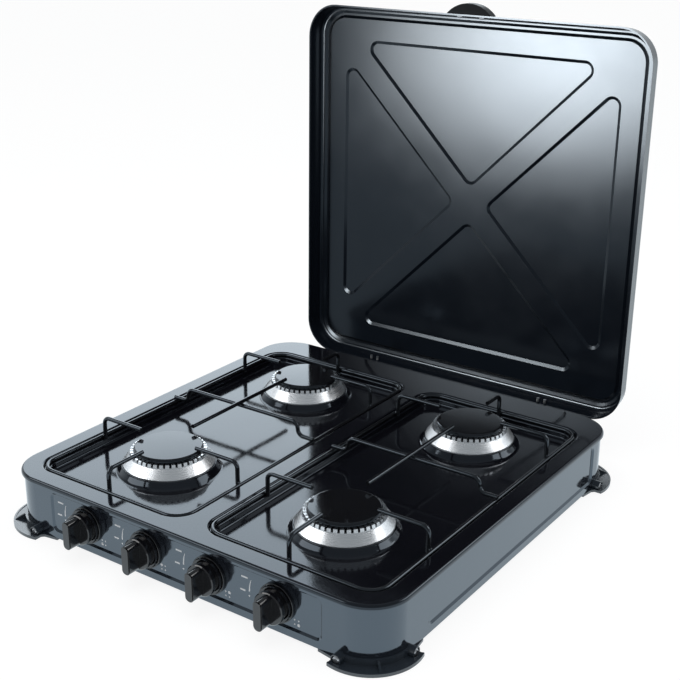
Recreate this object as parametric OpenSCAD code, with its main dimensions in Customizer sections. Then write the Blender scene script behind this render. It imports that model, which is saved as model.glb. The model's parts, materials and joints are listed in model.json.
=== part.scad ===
// Table-top gas hob with four burners, two wire pan supports and a folding lid.
// Millimetres. The hob stands on z = 0, the knobs face -Y, the lid folds up at +Y.

/* [Body] */
// Width over the rolled edge of the cooktop
body_w = 510; // [480:1:560]
// Depth over the rolled edge of the cooktop
body_d = 515; // [495:1:560]
// Corner radius of the cooktop
corner_r = 46; // [36:1:50]
// Height of the cooktop above the table
top_z = 68.5; // [66:0.5:80]
// Thickness of the pressed sheet
sheet = 1; // [0.8:0.1:1.2]
// Outer radius of the cooktop's rolled edge
edge_r = 3; // [2.4:0.1:3.4]
// Height of the cooktop's skirt
skirt_h = 4.5; // [4:0.1:8]
// How far the casing stands inside the cooktop's edge
casing_inset = 3; // [2.9:0.1:4]
// Height of the casing's lower edge above the table
casing_lift = 3; // [2.5:0.1:6]
// Width of the casing's inward flanges
flange_w = 9; // [6:0.5:11]

/* [Pressed side panels] */
// Half length of the front panel
panel_half = 184; // [160:1:190]
// Half length of the side panels
side_panel_half = 188; // [150:1:190]
// How far the side panels' middles lie behind the body's middle
side_panel_back = 15; // [10:0.5:18]
// Lower edge of the panels above the table
panel_low = 11; // [9:0.5:13]
// Upper edge of the panels above the table
panel_high = 59; // [57:0.5:61]
// Depth of the panels
panel_depth = 2; // [1:0.1:3]
// Width of the panels' sloping border
panel_slope = 2.4; // [2:0.1:2.8]
// Corner radius of the panels
panel_r = 8; // [6:0.5:12]

/* [Wells] */
// Distance of the burners from the cooktop's front and back edges
burner_in = 127.5; // [124:0.5:134]
// Distance between the two pan supports' rings, on the wire's axis
ring_between = 33; // [31:0.5:40]
// Distance of the rings from the cooktop's sides
ring_side_in = 26.5; // [24:0.5:30]
// Distance of the rings from the cooktop's front edge
ring_front_in = 28.5; // [26:0.5:34]
// Distance of the rings from the cooktop's back edge
ring_back_in = 49.5; // [44:0.5:56]
// Corner radius of the ring, on the wire's axis
ring_r = 22; // [20:0.5:26]
// Wire radius of the pan supports
wire_r = 2.5; // [2.2:0.1:2.8]
// Gap between the ring and the well's edge
ring_gap = 1.5; // [1:0.1:2]
// Depth of the ledge that carries the ring
ledge_drop = 4.5; // [4:0.1:6]
// Width of the ledge
ledge_w = 8; // [7:0.1:9]
// Depth of the wells
well_drop = 12.5; // [11:0.1:14]

/* [Burners] */
// Top radius of the boss under each burner
boss_r = 55; // [54:0.5:58]
// Height of the boss above the well's floor
boss_h = 8; // [6:0.1:10]
// Radius of the boss at its foot
boss_foot_r = 61; // [60:0.5:64]
// Hole in the boss
boss_hole_r = 30; // [28:0.5:32]
// Radius of the crown's base
crown_r = 53; // [50:0.5:53]
// Height of the crown's upright base
crown_base_h = 2; // [1:0.1:3]
// Radius of the crown at the roots of its teeth
crown_top_r = 45; // [44:0.5:46]
// Height of the crown to the roots of its teeth
crown_h = 12; // [10:0.5:13]
// Height of the teeth
tooth_h = 4; // [3:0.1:5]
// Number of gaps between teeth
tooth_count = 40; // [30:2:48]
// Width of the gaps
tooth_gap = 2.6; // [2:0.1:3.2]
// Radius of the seat in the crown for the cap's ring
seat_r = 36; // [35:0.1:37]
// Radius of the cup under each burner
cup_r = 34; // [33:0.5:35]
// Width of the cup's flange
cup_flange_w = 12; // [10:0.5:13]
// Wall of the cup
cup_wall = 8; // [6:0.5:9]
// Distance of the burner screws from the burner's axis
burner_screw_r = 39; // [38:0.5:40]
// Radius of the burner cap
cap_r = 40; // [38:0.1:40.5]
// Thickness of the burner cap
cap_h = 4.5; // [4:0.1:6]
// Depth of the ring under the cap
spigot_h = 3; // [2:0.1:3.4]

/* [Pan supports] */
// Height of the fingers' axis above the table
finger_z = 92; // [88:0.5:92]
// Gap between the cap's edge and the ends of the fingers
tip_gap = 1.8; // [1.4:0.1:4]
// Bend radius of the fingers
finger_bend = 8; // [6:0.5:12]
// How deep crossing wires are pressed together by the weld
weld_sink = 0.4; // [0.3:0.1:0.6]
// Length of the cross wire's flat feet
cross_foot = 12; // [10:0.5:16]

/* [Knobs and taps] */
// Distance between knobs
knob_pitch = 86.4; // [80:0.2:88]
// Height of the knobs' axis above the table
knob_z = 35; // [34:0.5:37]
// Radius of the fixed ring round each knob
bezel_r = 21; // [20.9:0.1:21.4]
// Wall of the fixed ring
bezel_wall = 1.5; // [1.2:0.1:1.6]
// Height of the fixed ring
bezel_h = 3.5; // [3:0.1:4.5]
// Radius of the knob's skirt
knob_skirt_r = 19.2; // [18.5:0.1:19.3]
// Radius of the knob's front disc
knob_disc_r = 17.4; // [16.5:0.1:18]
// Length of the knob from skirt to disc face
knob_body_l = 12.2; // [11.5:0.1:14]
// Length of the grip bar
grip_l = 16; // [13:0.5:18]
// Height of the grip bar
grip_h = 33; // [28:0.5:33.5]
// Width of the grip bar
grip_w = 11; // [9:0.5:12]
// Travel of the knob when it is pressed
press_travel = 3; // [2:0.1:3]
// Radius of the tap body
tap_r = 10; // [9.5:0.1:11]
// Radius of the tap's turning cone
cone_r = 7; // [6.6:0.1:7.4]
// Radial running clearance of the cone
cone_clear = 0.05; // [0.03:0.01:0.1]
// Radius of the spindle
spindle_r = 3; // [2.8:0.1:3.1]
// Clearance round the spindle
spindle_clear = 0.35; // [0.3:0.05:0.5]

/* [Gas pipes] */
// Radius of the manifold pipe
manifold_r = 7; // [6.5:0.1:7.5]
// Height of the manifold's axis
manifold_z = 14; // [13:0.1:15]
// Radius of the supply tubes
tube_r = 4; // [3.5:0.1:4.2]
// Wall of the pipes
pipe_wall = 1; // [0.8:0.1:1.4]
// Bend radius of the pipes
pipe_bend = 20; // [16:1:26]
// Position of the gas inlet along the back wall
inlet_x = 176; // [172:1:182]
// Radius of the hose nozzle's tail
nozzle_r = 4.5; // [4:0.1:5]
// Length of the hose nozzle's tail
nozzle_l = 28; // [22:1:32]

/* [Feet] */
// How far the foot's flange stands out from the cooktop's corner
foot_out = 9.2; // [7:0.1:12]
// How far the middle of the foot's flange lies outside the corner's middle
foot_shift = 3; // [2:0.1:4]
// How far the flange runs past the corner
foot_past = 10; // [9:0.5:12]
// How far the flange's tail runs past the corner
foot_tail = 30; // [24:1:36]
// Height of the foot's wall
foot_h = 10; // [9:0.5:14]
// Height of the lip on the foot's flange
foot_lip = 0.6; // [0.4:0.1:1.4]
// Wall thickness of the foot
foot_wall = 2.6; // [2.2:0.1:3.2]
// Height of the foot's screws
foot_screw_z = 6.2; // [6.1:0.1:9]
// Radius of the foot's screw ears
foot_ear_r = 5.6; // [5.3:0.1:6]
// Length of the foot's screw ears
foot_ear_l = 9.4; // [7:0.1:10]
// Distance of the foot's screws from the corner's middle, towards the other corner
foot_screw_in = 3; // [2:0.1:4]

/* [Lid] */
// Distance of the lid's rim from the cooktop's sides
lid_side_in = 13; // [11:0.5:16]
// Distance of the closed lid's rim from the cooktop's front edge
lid_front_in = 23.5; // [20:0.5:30]
// Distance of the closed lid's rim from the cooktop's back edge
lid_back_in = 5; // [4:0.1:10]
// Corner radius of the lid's rim
lid_r = 43; // [40:0.5:44]
// Depth of the lid
lid_h = 26; // [25.6:0.1:30]
// Inward slope of the lid's wall over its height
lid_draft = 2.8; // [2:0.1:4]
// Gap between the closed lid's rim and the cooktop
lid_gap = 2; // [1.8:0.1:4]
// Depth of the lid's border bead
bead_d = 2; // [1:0.1:2.5]
// Outer edge of the bead, from the rim
bead_in = 8.5; // [8:0.5:12]
// Width of the bead
bead_w = 10.5; // [10:0.5:13]
// Slope width of the bead's sides
bead_slope = 3.5; // [2.5:0.1:4]
// Distance of the triangles' outer edges from the lid's rim
tri_in = 43.5; // [40:0.5:52]
// Corner radius of the triangles
tri_r = 12; // [10:0.5:16]
// Distance of the triangles' points from the lid's middle
tri_gap = 21.5; // [18:0.5:28]
// Depth of the triangles
tri_d = 2; // [1:0.1:2.5]
// Slope width of the triangles' borders
tri_slope = 4; // [3:0.1:5]
// Angle to which the lid opens
lid_open = 90.6; // [90:0.1:100]
// Width of the lid handle
handle_w = 62; // [50:1:80]
// How far the lid handle stands out
handle_out = 13.5; // [10:0.5:18]
// Height of the lid handle
handle_h = 12; // [10:0.5:14]

/* [Hinges] */
// Distance of each hinge from the middle
hinge_x = 145; // [120:1:146]
// Hinge axis behind the cooktop's edge
hinge_out = 5.5; // [5.2:0.1:7]
// Height of the hinge axis
hinge_z = 36.5; // [35:0.5:38]
// Radius of the hinge pins
pin_r = 2.5; // [2.2:0.1:2.7]
// Radial running clearance of the hinge pins
pin_clear = 0.08; // [0.05:0.01:0.1]
// Radius of the hinge arms' eyes
eye_r = 5.5; // [5:0.1:5.6]
// Thickness of the hinge plates
hinge_t = 2; // [1.6:0.1:2.4]
// Width of the hinge brackets
bracket_w = 30; // [28:1:34]
// Height of the hinge brackets
bracket_h = 26; // [25:1:28]
// Distance of a bracket's screws from its middle
bracket_screw_x = 11; // [10:0.5:12]
// Distance of a bracket's two eyes from its middle
leaf_x = 5.5; // [5:0.1:6.5]
// Thickness of the hinge pins' heads
pin_head = 1.5; // [1.2:0.1:2]
// Gap between the open arm and its stop
stop_gap = 0.3; // [0.2:0.05:0.5]

/* [Hidden] */
$fn = 64;
drill_l = 10 * hinge_t;
casing_w = body_w - 2 * casing_inset;
casing_d = body_d - 2 * casing_inset;
casing_r = corner_r - casing_inset;
casing_top = top_z - sheet;
front_y = -casing_d / 2 + panel_depth;
back_y = casing_d / 2;
ring_half_w = (body_w / 2 - ring_side_in - ring_between / 2) / 2;
burner_x = ring_between / 2 + ring_half_w;
burner_y = body_d / 2 - burner_in;
ring_front = body_d / 2 - ring_front_in;
ring_back = body_d / 2 - ring_back_in;
ring_mid = (ring_back - ring_front) / 2;
ring_len = ring_front + ring_back;
well_grow = wire_r + ring_gap;
well_w = 2 * (ring_half_w + well_grow);
well_d = ring_len + 2 * well_grow;
well_r = ring_r + well_grow;
ledge_z = top_z - ledge_drop;
floor_z = top_z - well_drop;
ring_z = ledge_z + wire_r;
boss_z = floor_z + boss_h;
crown_z = boss_z;
cap_z = crown_z + crown_h + tooth_h;
cap_top_z = cap_z + cap_h;
weld_step = 2 * wire_r - weld_sink;
tip_r = cap_r + tip_gap;
cross_z = finger_z - weld_step;
rim_z = top_z + lid_gap;
hinge_y = body_d / 2 + hinge_out;
lid_w = body_w - 2 * lid_side_in;
lid_l = body_d - lid_front_in - lid_back_in;
lid_back = body_d / 2 - lid_back_in;
lid_mid = lid_back - lid_l / 2;
tri_out = min(lid_w, lid_l) / 2 - tri_in;
lid_edge_r = 5;
bead_at = max(bead_in, lid_draft + lid_edge_r + 0.5);
bezel_in_r = bezel_r - bezel_wall;
skirt_back = front_y - bezel_h - 0.4;
skirt_t = 3.2;
disc_face = skirt_back - knob_body_l;
tap_back = front_y + sheet + 31.5;
cone_front = front_y + 10.7;
cone_back = cone_front + 17.8;
chamber_front = front_y + 2.5;
collar_t = 2;
chamber_r = 6;
spindle_back = cone_front + 10.8;
spindle_front = disc_face - 5.5;
manifold_y = front_y + 19.5;
tube_z = knob_z;
elbow_half = 6.5;
cup_low = tube_z + 11;
cup_flange_r = cup_r + cup_flange_w;
crown_bore_r = boss_hole_r + 0.6;
crown_tube_r = crown_bore_r + 2.4;
spigot_r = seat_r - 0.6;
spigot_in_r = spigot_r - 2.4;
foot_screw_seat = 2.4;
foot_lip_w = 2;
foot_r = corner_r + foot_out;
foot_cx = casing_w / 2 - casing_r;
foot_cy = casing_d / 2 - casing_r;
handle_screw_x = 15.5;
knob_xs = [-1.5 * knob_pitch, -0.5 * knob_pitch, 0.5 * knob_pitch, 1.5 * knob_pitch];
burner_at = [[-burner_x, -burner_y], [-burner_x, burner_y], [burner_x, burner_y], [burner_x, -burner_y]];

// Points on an arc, for profiles
function arc(c, r, a0, a1, n = 6) = [for (i = [0:n]) c + r * [cos(a0 + (a1 - a0) * i / n), sin(a0 + (a1 - a0) * i / n)]];

// Corner centres of a rounded polygon whose points run anticlockwise
function side_normal(p, i) = let (n = len(p), d = p[(i + 1) % n] - p[i]) [d[1], -d[0]] / norm(d);
function corner_mid(p, r, i) = let (n = len(p), a = side_normal(p, (i + n - 1) % n), b = side_normal(p, i))
    p[i] - (a + b) * r / (1 + a * b);
function heading(v) = atan2(v[1], v[0]);
function turn(a, b) = let (t = heading(b) - heading(a)) t < 0 ? t + 360 : t;
function box_points(w, d) = [[w / 2, -d / 2], [w / 2, d / 2], [-w / 2, d / 2], [-w / 2, -d / 2]];

// Sweeps a profile round a rounded polygon: x runs outward from the corner centres, y runs up
module sweep_round(p, r) {
    n = len(p);
    for (i = [0:n - 1]) {
        a = side_normal(p, (i + n - 1) % n);
        b = side_normal(p, i);
        here = corner_mid(p, r, i);
        next = corner_mid(p, r, (i + 1) % n);
        translate([here[0], here[1], 0])
            rotate(heading(a))
                rotate_extrude(angle = turn(a, b)) children();
        translate([next[0], next[1], 0])
            rotate(heading(b))
                rotate([90, 0, 0])
                    linear_extrude(norm(next - here)) children();
    }
}

// Flat rounded polygon
module round_polygon(p, r) {
    n = len(p);
    polygon([for (i = [0:n - 1]) for (k = [0, 1])
        corner_mid(p, r, i) + r * side_normal(p, (i + n - 1 + k) % n)]);
    for (i = [0:n - 1])
        translate(corner_mid(p, r, i)) circle(r);
}

// Plate with a rounded outline
module round_plate(p, r, z, t) {
    translate([0, 0, z])
        linear_extrude(t) round_polygon(p, r);
}

// Cylinder between two points
module rod(a, b, r) {
    d = b - a;
    translate(a)
        rotate([0, acos(d[2] / norm(d)), atan2(d[1], d[0])])
            cylinder(r = r, h = norm(d));
}

// Pan-head screw along +Z, head above z = 0, with a cross recess
module pan_screw(head_r, head_h, shank_r, l) {
    difference() {
        union() {
            cylinder(r = head_r, h = head_h * 0.6);
            translate([0, 0, head_h * 0.6])
                cylinder(r1 = head_r, r2 = head_r * 0.7, h = head_h * 0.4);
            translate([0, 0, -l])
                cylinder(r = shank_r, h = l);
        }
        for (a = [0, 90])
            rotate(a)
                translate([-head_r * 0.55, -head_r * 0.12, head_h * 0.45])
                    cube([head_r * 1.1, head_r * 0.24, head_h]);
    }
}

// Turns +Z towards the front (-Y)
module to_front() {
    rotate([90, 0, 0]) children();
}

// Pressed panel of a side wall, in the X-Z plane, outer wall face at y = 0, facing -Y
module panel_window(half) {
    rotate([90, 0, 0])
        translate([0, (panel_low + panel_high) / 2, -20])
            linear_extrude(40)
                round_polygon(box_points(2 * half, panel_high - panel_low), panel_r);
}
module panel_pressing(half) {
    p = box_points(2 * half, panel_high - panel_low);
    in_r = panel_r - panel_slope;
    rotate([90, 0, 0])
        translate([0, (panel_low + panel_high) / 2, 0]) {
            sweep_round(p, panel_r)
                polygon([[panel_r, 0], [panel_r, -sheet], [in_r, -panel_depth - sheet], [in_r, -panel_depth]]);
            round_plate(box_points(2 * (half - panel_slope), panel_high - panel_low - 2 * panel_slope), in_r,
                -panel_depth - sheet, sheet);
        }
}

module side_casing() {
    sides = [[0, casing_d / 2, panel_half, 0], [90, casing_w / 2, side_panel_half, side_panel_back],
        [-90, casing_w / 2, side_panel_half, -side_panel_back]];
    color("dimgray")
    difference() {
        union() {
            difference() {
                sweep_round(box_points(casing_w, casing_d), casing_r)
                    polygon([
                        [casing_r, casing_lift], [casing_r, casing_top], [casing_r - flange_w, casing_top],
                        [casing_r - flange_w, casing_top - sheet], [casing_r - sheet, casing_top - sheet],
                        [casing_r - sheet, casing_lift + sheet], [casing_r - flange_w, casing_lift + sheet],
                        [casing_r - flange_w, casing_lift]
                    ]);
                for (s = sides)
                    rotate(s[0]) translate([s[3], -s[1], 0]) panel_window(s[2]);
            }
            for (s = sides)
                rotate(s[0]) translate([s[3], -s[1], 0]) panel_pressing(s[2]);
        }
        for (x = knob_xs)
            translate([x, front_y + 20, knob_z]) to_front() cylinder(r = chamber_r + 0.4, h = 40);
        translate([inlet_x, back_y + 10, manifold_z]) to_front() cylinder(r = nozzle_r + 2.6, h = 20);
        for (x = [-hinge_x, hinge_x])
            for (k = [-1, 1])
                translate([x + k * 11, back_y + 10, hinge_z + 8]) to_front() cylinder(r = 2.1, h = 20);
        foot_places() foot_screw_axes() translate([0, 0, -12]) cylinder(r = 2.1, h = 24);
    }
}

// Profile of the well's rim: rolled edge, ledge, wall and floor
module well_profile() {
    t = sheet;
    e = well_r;
    i = well_r - ledge_w;
    polygon(concat(
        [[e + 4, top_z]],
        arc([e + 2.4, top_z - 2.4], 2.4, 90, 180),
        arc([e - 1.4, ledge_z + 1.4], 1.4, 0, -90, 4),
        arc([i + 2, ledge_z - 2], 2, 90, 180),
        arc([i - 3, floor_z + 3], 3, 0, -90),
        [[i - 4, floor_z], [i - 4, floor_z - t]],
        arc([i - 3, floor_z + 3], 3 + t, -90, 0),
        arc([i + 2, ledge_z - 2], 2 - t, 180, 90),
        arc([e - 1.4, ledge_z + 1.4], 1.4 + t, -90, 0, 4),
        arc([e + 2.4, top_z - 2.4], 2.4 - t, 180, 90),
        [[e + 4, top_z - t]]
    ));
}

// Profile of the raised boss under a burner, from its foot to its hole
module boss_profile() {
    t = sheet;
    polygon(concat(
        [[boss_foot_r + 1.5, floor_z - t], [boss_foot_r + 1.5, floor_z]],
        [[boss_foot_r, floor_z]],
        arc([boss_r - 2, boss_z - 2], 2, 30, 90, 5),
        [[boss_hole_r, boss_z], [boss_hole_r, boss_z - t]],
        arc([boss_r - 2, boss_z - 2], 2 - t, 90, 30, 5),
        [[boss_foot_r - 0.9, floor_z - t]]
    ));
}

module cooktop() {
    outer = box_points(body_w, body_d);
    well = box_points(well_w, well_d);
    in_r = well_r - ledge_w - 4;
    color("black") {
        sweep_round(outer, corner_r)
            polygon(concat(
                [[corner_r - 6, top_z - sheet], [corner_r - 6, top_z]],
                arc([corner_r - edge_r, top_z - edge_r], edge_r, 90, 0),
                [[corner_r, top_z - skirt_h], [corner_r - sheet, top_z - skirt_h]],
                arc([corner_r - edge_r, top_z - edge_r], edge_r - sheet, 0, 90)
            ));
        difference() {
            round_plate(box_points(body_w - 12, body_d - 12), corner_r - 6, top_z - sheet, sheet);
            for (s = [-1, 1])
                translate([s * burner_x, ring_mid, 0])
                    round_plate(box_points(well_w + 8, well_d + 8), well_r + 4, top_z - 5, 10);
        }
        for (s = [-1, 1])
            translate([s * burner_x, ring_mid, 0]) {
                sweep_round(well, well_r) well_profile();
                difference() {
                    round_plate(box_points(well_w - 2 * (ledge_w + 4), well_d - 2 * (ledge_w + 4)), in_r,
                        floor_z - sheet, sheet);
                    for (k = [-1, 1])
                        translate([0, k * burner_y - ring_mid, floor_z - 5])
                            cylinder(r = boss_foot_r + 1.5, h = 10);
                }
            }
        for (b = burner_at)
            translate([b[0], b[1], 0])
                difference() {
                    rotate_extrude() boss_profile();
                    burner_screw_places() translate([0, 0, boss_z - 5]) cylinder(r = 2.1, h = 10);
                }
    }
}

// The four corners, as seen by a corner at +X, +Y
module foot_places() {
    for (sx = [-1, 1])
        for (sy = [-1, 1])
            foot_place(sx, sy) children();
}
module foot_place(sx, sy) {
    translate([sx * foot_cx, sy * foot_cy, 0])
        mirror([sx < 0 ? 1 : 0, 0, 0])
            mirror([0, sy < 0 ? 1 : 0, 0])
                children();
}
// The two screw axes of a foot, pointing outward
module foot_screw_axes() {
    translate([-foot_screw_in, casing_r, foot_screw_z]) rotate([-90, 0, 0]) children();
    translate([casing_r, -foot_screw_in, foot_screw_z]) rotate([0, 90, 0]) children();
}
// Outline of the foot's flange outside the corner, and of the whole flange with its two tails
module foot_fan(r) {
    intersection() {
        translate([foot_shift, foot_shift]) circle(r);
        translate([-foot_past, -foot_past]) square(2 * foot_r);
    }
}
module foot_outline() {
    foot_fan(foot_r);
    tail_r = casing_r - flange_w;
    for (k = [0, 1])
        mirror([k, -k])
            polygon([[2 - foot_past, tail_r], [2 - foot_past, casing_r + foot_ear_l - 2],
                [-foot_past - 3, casing_r + foot_wall], [-foot_tail, casing_r], [-foot_tail, tail_r]]);
}
module corner_foot(sx, sy) {
    in_r = casing_r + 0.2;
    wall_r = in_r + foot_wall;
    rib_end = foot_r + foot_shift;
    lip_z = casing_lift + foot_lip;
    color("black")
    foot_place(sx, sy)
        difference() {
            union() {
                linear_extrude(casing_lift)
                    difference() {
                        foot_outline();
                        circle(casing_r - flange_w - 3);
                    }
                linear_extrude(lip_z)
                    difference() {
                        foot_fan(foot_r);
                        translate([foot_shift, foot_shift]) circle(foot_r - foot_lip_w);
                    }
                linear_extrude(foot_h)
                    difference() {
                        intersection() {
                            circle(wall_r);
                            square(wall_r + 1);
                        }
                        circle(in_r);
                    }
                foot_screw_axes() translate([0, 0, 0.2]) cylinder(r = foot_ear_r, h = foot_ear_l - 0.2);
                rotate([90, 0, 45])
                    translate([0, 0, -1.2])
                        linear_extrude(2.4)
                            polygon([[in_r + 1, 1], [rib_end, 1], [rib_end, lip_z - 0.3],
                                [in_r + 4, foot_h - 1], [in_r + 1, foot_h - 1]]);
            }
            foot_screw_axes() {
                translate([0, 0, -1]) cylinder(r = 2.3, h = 2 * foot_ear_l);
                translate([0, 0, foot_ear_l - foot_screw_seat]) cylinder(r = 4.6, h = foot_screw_seat + 0.7);
            }
        }
}
module foot_front_left() { corner_foot(-1, -1); }
module foot_front_right() { corner_foot(1, -1); }
module foot_back_left() { corner_foot(-1, 1); }
module foot_back_right() { corner_foot(1, 1); }

module foot_screws() {
    color("gray")
    foot_places()
        foot_screw_axes() translate([0, 0, foot_ear_l - foot_screw_seat]) pan_screw(4, foot_screw_seat, 1.9, 11);
}

module knob_bezels() {
    color("black")
    for (x = knob_xs)
        translate([x, front_y, knob_z])
            to_front()
                difference() {
                    cylinder(r = bezel_r, h = bezel_h);
                    translate([0, 0, -1]) cylinder(r = bezel_in_r, h = bezel_h + 2);
                }
}

// Distance from the front face of the panel, measured backwards, as a place for turned tap pieces
module tap_axis(i, y) {
    translate([knob_xs[i], y, knob_z]) rotate([-90, 0, 0]) children();
}
module tap_body(i) {
    main = front_y + sheet;
    color("goldenrod")
    difference() {
        union() {
            tap_axis(i, main) cylinder(r = tap_r, h = tap_back - main);
            tap_axis(i, front_y - 3.5) cylinder(r = chamber_r, h = 6);
            tap_axis(i, tap_back - 1) cylinder(r = tube_r + 1.6, h = 9);
            translate([knob_xs[i], manifold_y, manifold_z + 3.5]) cylinder(r = 5, h = knob_z - manifold_z - 8);
        }
        tap_axis(i, front_y - 10) cylinder(r = spindle_r + spindle_clear, h = 20);
        tap_axis(i, chamber_front) cylinder(r = chamber_r - 0.2, h = cone_front - chamber_front + 0.1);
        tap_axis(i, cone_front) cylinder(r = cone_r + cone_clear, h = cone_back - cone_front + 0.2);
        tap_axis(i, cone_back - 1) cylinder(r = 1.5, h = 12);
        tap_axis(i, tap_back + 2) cylinder(r = tube_r + 0.15, h = 10);
        translate([knob_xs[i], manifold_y, manifold_z + 2]) cylinder(r = 2, h = knob_z - manifold_z - 2);
    }
}
module tap_body_1() { tap_body(0); }
module tap_body_2() { tap_body(1); }
module tap_body_3() { tap_body(2); }
module tap_body_4() { tap_body(3); }

// Round bar with a flat, along +Z
module flat_bar(r, h) {
    linear_extrude(h)
        difference() {
            circle(r);
            translate([r - 0.9, -r]) square(2 * r);
        }
}
module tap_cone(i) {
    color("darkgoldenrod")
    tap_axis(i, cone_front + 0.2)
        difference() {
            cylinder(r = cone_r, h = cone_back - cone_front - 0.2);
            translate([0, 0, -1]) flat_bar(spindle_r + 0.12, spindle_back - cone_front + press_travel + 1.6);
        }
}
module tap_cone_1() { tap_cone(0); }
module tap_cone_2() { tap_cone(1); }
module tap_cone_3() { tap_cone(2); }
module tap_cone_4() { tap_cone(3); }

module tap_spindle(i) {
    color("silver") {
        tap_axis(i, spindle_front) flat_bar(spindle_r, spindle_back - spindle_front);
        tap_axis(i, chamber_front + 0.1) cylinder(r = chamber_r - 0.6, h = collar_t);
    }
}
module tap_spindle_1() { tap_spindle(0); }
module tap_spindle_2() { tap_spindle(1); }
module tap_spindle_3() { tap_spindle(2); }
module tap_spindle_4() { tap_spindle(3); }

// Return spring, closed inside the tap: drawn as a plain sleeve
module tap_spring(i) {
    start = chamber_front + 0.1 + collar_t;
    color("lightgray")
    tap_axis(i, start)
        difference() {
            cylinder(r = chamber_r - 0.7, h = cone_front + 0.2 - start);
            translate([0, 0, -1]) cylinder(r = spindle_r + 0.6, h = 30);
        }
}
module tap_spring_1() { tap_spring(0); }
module tap_spring_2() { tap_spring(1); }
module tap_spring_3() { tap_spring(2); }
module tap_spring_4() { tap_spring(3); }

module knob(i) {
    grip_r = grip_w / 2;
    color("black")
    difference() {
        union() {
            tap_axis(i, skirt_back - skirt_t) cylinder(r = knob_skirt_r, h = skirt_t);
            tap_axis(i, disc_face + 4) cylinder(r = knob_disc_r - 1.4, h = knob_body_l - 4 - skirt_t + 0.5);
            tap_axis(i, disc_face + 1) cylinder(r = knob_disc_r, h = 4);
            tap_axis(i, disc_face) cylinder(r1 = knob_disc_r - 1, r2 = knob_disc_r, h = 1);
            translate([knob_xs[i], disc_face + 1, knob_z])
                to_front()
                    linear_extrude(grip_l)
                        for (k = [-1, 1]) {
                            translate([0, k * (grip_h / 2 - grip_r)]) circle(grip_r);
                            translate([-grip_r, -grip_h / 2 + grip_r]) square([grip_w, grip_h - grip_w]);
                        }
            translate([knob_xs[i], disc_face + 1 - grip_l, knob_z])
                to_front()
                    linear_extrude(1)
                        for (k = [-1, 1]) {
                            translate([0, k * (grip_h / 2 - grip_r)]) circle(grip_r - 1);
                            translate([-grip_r + 1, -grip_h / 2 + grip_r]) square([grip_w - 2, grip_h - grip_w]);
                        }
        }
        tap_axis(i, skirt_back - 6) cylinder(r = knob_disc_r - 3, h = 20);
        tap_axis(i, spindle_front) flat_bar(spindle_r + 0.1, 30);
    }
}
module knob_1() { knob(0); }
module knob_2() { knob(1); }
module knob_3() { knob(2); }
module knob_4() { knob(3); }

module manifold_path(r) {
    turn_x = inlet_x - pipe_bend;
    left_x = knob_xs[0] - 25;
    end_y = back_y - 18;
    rod([left_x, manifold_y, manifold_z], [turn_x, manifold_y, manifold_z], r);
    translate([turn_x, manifold_y + pipe_bend, manifold_z])
        rotate(-90)
            rotate_extrude(angle = 90) translate([pipe_bend, 0]) circle(r);
    rod([inlet_x, manifold_y + pipe_bend, manifold_z], [inlet_x, end_y, manifold_z], r);
}
module gas_manifold() {
    color("silver")
    difference() {
        union() {
            manifold_path(manifold_r);
            rod([knob_xs[0] - 27, manifold_y, manifold_z], [knob_xs[0] - 24, manifold_y, manifold_z], manifold_r);
        }
        manifold_path(manifold_r - pipe_wall);
        for (x = knob_xs)
            translate([x, manifold_y, manifold_z]) cylinder(r = 5.1, h = 20);
    }
}

module hose_nozzle() {
    seat = back_y - 18;
    tail = back_y + 6;
    color("goldenrod")
    translate([inlet_x, 0, manifold_z])
        rotate([-90, 0, 0])
            difference() {
                union() {
                    translate([0, 0, seat]) cylinder(r = manifold_r + 1.5, h = 8);
                    translate([0, 0, seat - 8]) cylinder(r = manifold_r - pipe_wall - 0.1, h = 10);
                    translate([0, 0, seat + 8]) cylinder(r = nozzle_r + 2, h = tail - seat - 8);
                    translate([0, 0, tail]) cylinder(r = nozzle_r, h = nozzle_l);
                }
                translate([0, 0, seat - 10]) cylinder(r = nozzle_r - 1.5, h = 80);
                for (k = [1:3])
                    translate([0, 0, tail + k * 6])
                        difference() {
                            cylinder(r = nozzle_r + 1, h = 1.2);
                            cylinder(r = nozzle_r - 0.6, h = 1.2);
                        }
            }
}

// Supply tubes: the outer taps feed the front burners, the inner taps the back ones
module tube_path(i, r) {
    s = i < 2 ? -1 : 1;
    x = knob_xs[i];
    y0 = tap_back + 2.2;
    if (i == 0 || i == 3)
        rod([x, y0, tube_z], [x, -burner_y - elbow_half + 3.8, tube_z], r);
    else {
        rod([x, y0, tube_z], [x, burner_y - pipe_bend, tube_z], r);
        translate([x + s * pipe_bend, burner_y - pipe_bend, tube_z])
            rotate(s > 0 ? 90 : 0)
                rotate_extrude(angle = 90) translate([pipe_bend, 0]) circle(r);
        rod([x + s * pipe_bend, burner_y, tube_z], [s * (burner_x - elbow_half + 3.8), burner_y, tube_z], r);
    }
}
module supply_tube(i) {
    color("silver")
    difference() {
        tube_path(i, tube_r);
        tube_path(i, tube_r - pipe_wall);
    }
}
module supply_tube_1() { supply_tube(0); }
module supply_tube_2() { supply_tube(1); }
module supply_tube_3() { supply_tube(2); }
module supply_tube_4() { supply_tube(3); }

// Direction from which the gas reaches each burner
function feed_angle(k) = k == 0 || k == 3 ? -90 : k == 1 ? 0 : 180;

// How far beside the burner's axis the supply tube arrives
function feed_side(k) = k == 0 || k == 3 ? 1.5 * knob_pitch - burner_x : 0;

// Turns +X towards the side from which the gas arrives, with the tube beside -Y
module feed_turn(k) {
    rotate(feed_angle(k))
        mirror([0, k == 3 ? 1 : 0, 0])
            children();
}

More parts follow.
